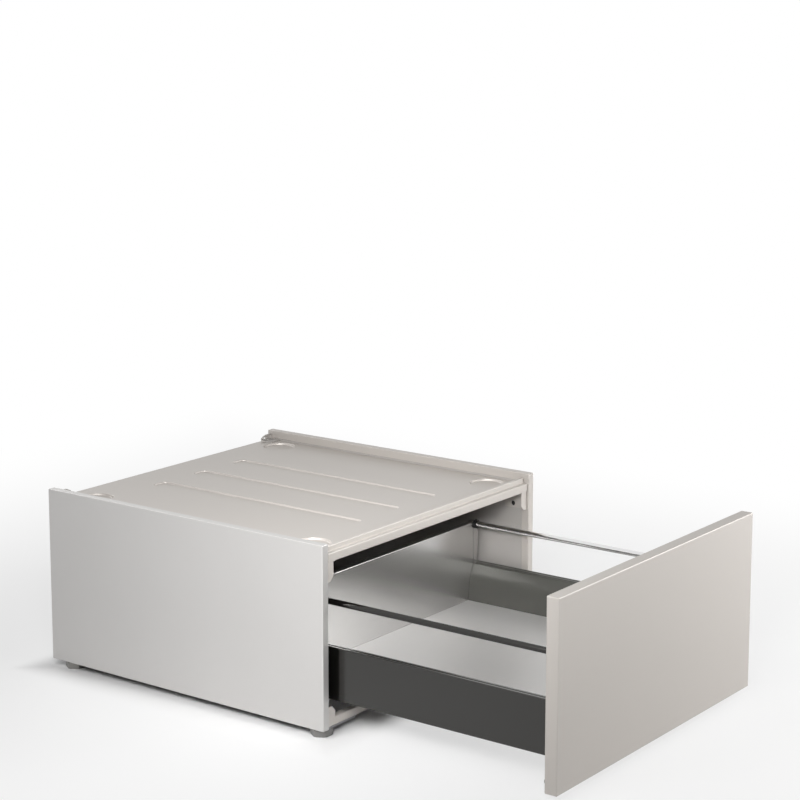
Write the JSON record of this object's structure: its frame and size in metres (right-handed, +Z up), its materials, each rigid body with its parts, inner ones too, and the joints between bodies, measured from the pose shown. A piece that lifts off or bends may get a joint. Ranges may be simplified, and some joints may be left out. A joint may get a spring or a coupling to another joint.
{
  "type": "washer pedestal drawer",
  "caption": "Low steel pedestal that a washer stands on, with a full-width drawer on full-extension runners, low drawer sides, gallery rods and screw feet.",
  "frame": {"origin": "on the floor, at the middle of the footprint of the cabinet and the drawer as it stands open", "axes": "+X to the right as the user faces the drawer, +Y to the rear, +Z up; the drawer opens towards -Y"},
  "size_m": [0.595, 1.0332, 0.3167],
  "materials": {
    "coated_steel": "satin silver-grey coating",
    "frame_steel": "satin grey coating",
    "stainless": "satin",
    "drawer_side_steel": "satin dark grey",
    "polished_steel": "polished",
    "zinc_plate": "bright zinc",
    "galvanised": "dull zinc coat",
    "foot_metal": "satin",
    "dark_plastic": "matt black",
    "rubber": "matt"
  },
  "bodies": {
    "cabinet": {"top_deck": "coated_steel", "deck_stiffener_left": "galvanised", "deck_stiffener_right": "galvanised", "front_top_rail": "coated_steel", "front_bottom_rail": "coated_steel", "rear_top_rail": "frame_steel", "rear_bottom_rail": "frame_steel", "rear_panel": "galvanised", "side_panel_left": "coated_steel", "side_panel_right": "coated_steel", "side_liner_left": "frame_steel", "side_liner_right": "frame_steel", "front_bracket_left": "coated_steel", "front_bracket_right": "coated_steel", "rear_bracket_left": "galvanised", "rear_bracket_right": "galvanised", "rear_stop_left": "frame_steel", "rear_stop_right": "frame_steel", "cabinet_runner_left": "zinc_plate", "cabinet_runner_right": "zinc_plate", "foot_plate_front_left": "galvanised", "foot_plate_front_right": "galvanised", "foot_plate_rear_left": "galvanised", "foot_plate_rear_right": "galvanised", "lock_nut_front_left": "zinc_plate", "lock_nut_front_right": "zinc_plate", "lock_nut_rear_left": "zinc_plate", "lock_nut_rear_right": "zinc_plate"},
    "drawer": {"drawer_floor": "stainless", "drawer_back": "stainless", "drawer_front_skin": "coated_steel", "drawer_front_backplate": "coated_steel", "drawer_runner_left": "zinc_plate", "drawer_runner_right": "zinc_plate", "drawer_side_left": "drawer_side_steel", "drawer_side_right": "drawer_side_steel", "back_holder_left": "stainless", "back_holder_right": "stainless", "gallery_rod_left": "polished_steel", "gallery_rod_right": "polished_steel", "rod_socket_left": "dark_plastic", "rod_socket_right": "dark_plastic", "front_fixing_left": "zinc_plate", "front_fixing_right": "zinc_plate", "upper_bumper_left": "rubber", "upper_bumper_right": "rubber", "lower_bumper_left": "rubber", "lower_bumper_right": "rubber"},
    "middle_runner_left": {"middle_runner_left": "zinc_plate"},
    "middle_runner_right": {"middle_runner_right": "zinc_plate"},
    "foot_front_left": {"foot_front_left": "foot_metal"},
    "foot_front_right": {"foot_front_right": "foot_metal"},
    "foot_rear_left": {"foot_rear_left": "foot_metal"},
    "foot_rear_right": {"foot_rear_right": "foot_metal"}
  },
  "joints": [
    {"name": "drawer_slide", "type": "slide", "parent": "cabinet", "child": "drawer", "axis": [0, -1, 0], "range_m": [-0.4075, 0.0925]},
    {"name": "middle_slide_left", "type": "slide", "parent": "cabinet", "child": "middle_runner_left", "axis": [0, -1, 0], "range_m": [-0.20375, 0.04625]},
    {"name": "middle_slide_right", "type": "slide", "parent": "cabinet", "child": "middle_runner_right", "axis": [0, -1, 0], "range_m": [-0.20375, 0.04625]},
    {"name": "foot_screw_front_left", "type": "slide", "parent": "cabinet", "child": "foot_front_left", "axis": [0, 0, -1], "range_m": [0, 0.015]},
    {"name": "foot_screw_front_right", "type": "slide", "parent": "cabinet", "child": "foot_front_right", "axis": [0, 0, -1], "range_m": [0, 0.015]},
    {"name": "foot_screw_rear_left", "type": "slide", "parent": "cabinet", "child": "foot_rear_left", "axis": [0, 0, -1], "range_m": [0, 0.015]},
    {"name": "foot_screw_rear_right", "type": "slide", "parent": "cabinet", "child": "foot_rear_right", "axis": [0, 0, -1], "range_m": [0, 0.015]}
  ],
  "couplings": [
    {"joint": "middle_slide_left", "follows": "drawer_slide", "ratio": 0.5},
    {"joint": "middle_slide_right", "follows": "drawer_slide", "ratio": 0.5}
  ]
}
